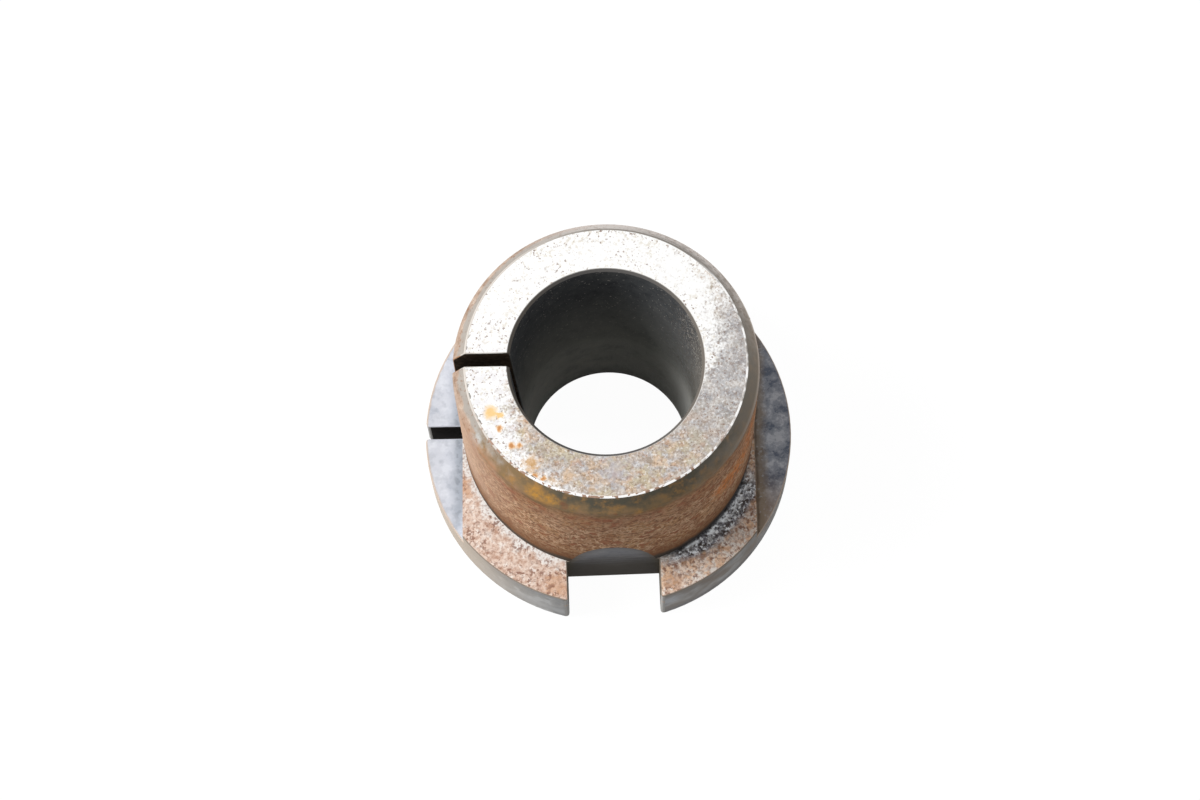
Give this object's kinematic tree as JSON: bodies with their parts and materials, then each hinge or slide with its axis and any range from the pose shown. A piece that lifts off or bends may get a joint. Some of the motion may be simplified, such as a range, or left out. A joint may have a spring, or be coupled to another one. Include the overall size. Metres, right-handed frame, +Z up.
{
  "type": "camber adjusting bushing",
  "caption": "Split steel sleeve with a tapered bore, a bevelled nose and a round flange with a spanner notch and milled side reliefs, for setting wheel camber at a ball joint.",
  "frame": {"origin": "on the bore's axis, in the plane of the flange's flat base", "axes": "+Z up along the bore's axis from the flange to the nose, -Y through the spanner notch, -X through the clamping slit"},
  "size_m": [0.0508, 0.0501, 0.0374],
  "materials": {
    "steel": "machined steel, worn, with light rust"
  },
  "bodies": {
    "root": {"bushing": "steel"}
  },
  "joints": []
}
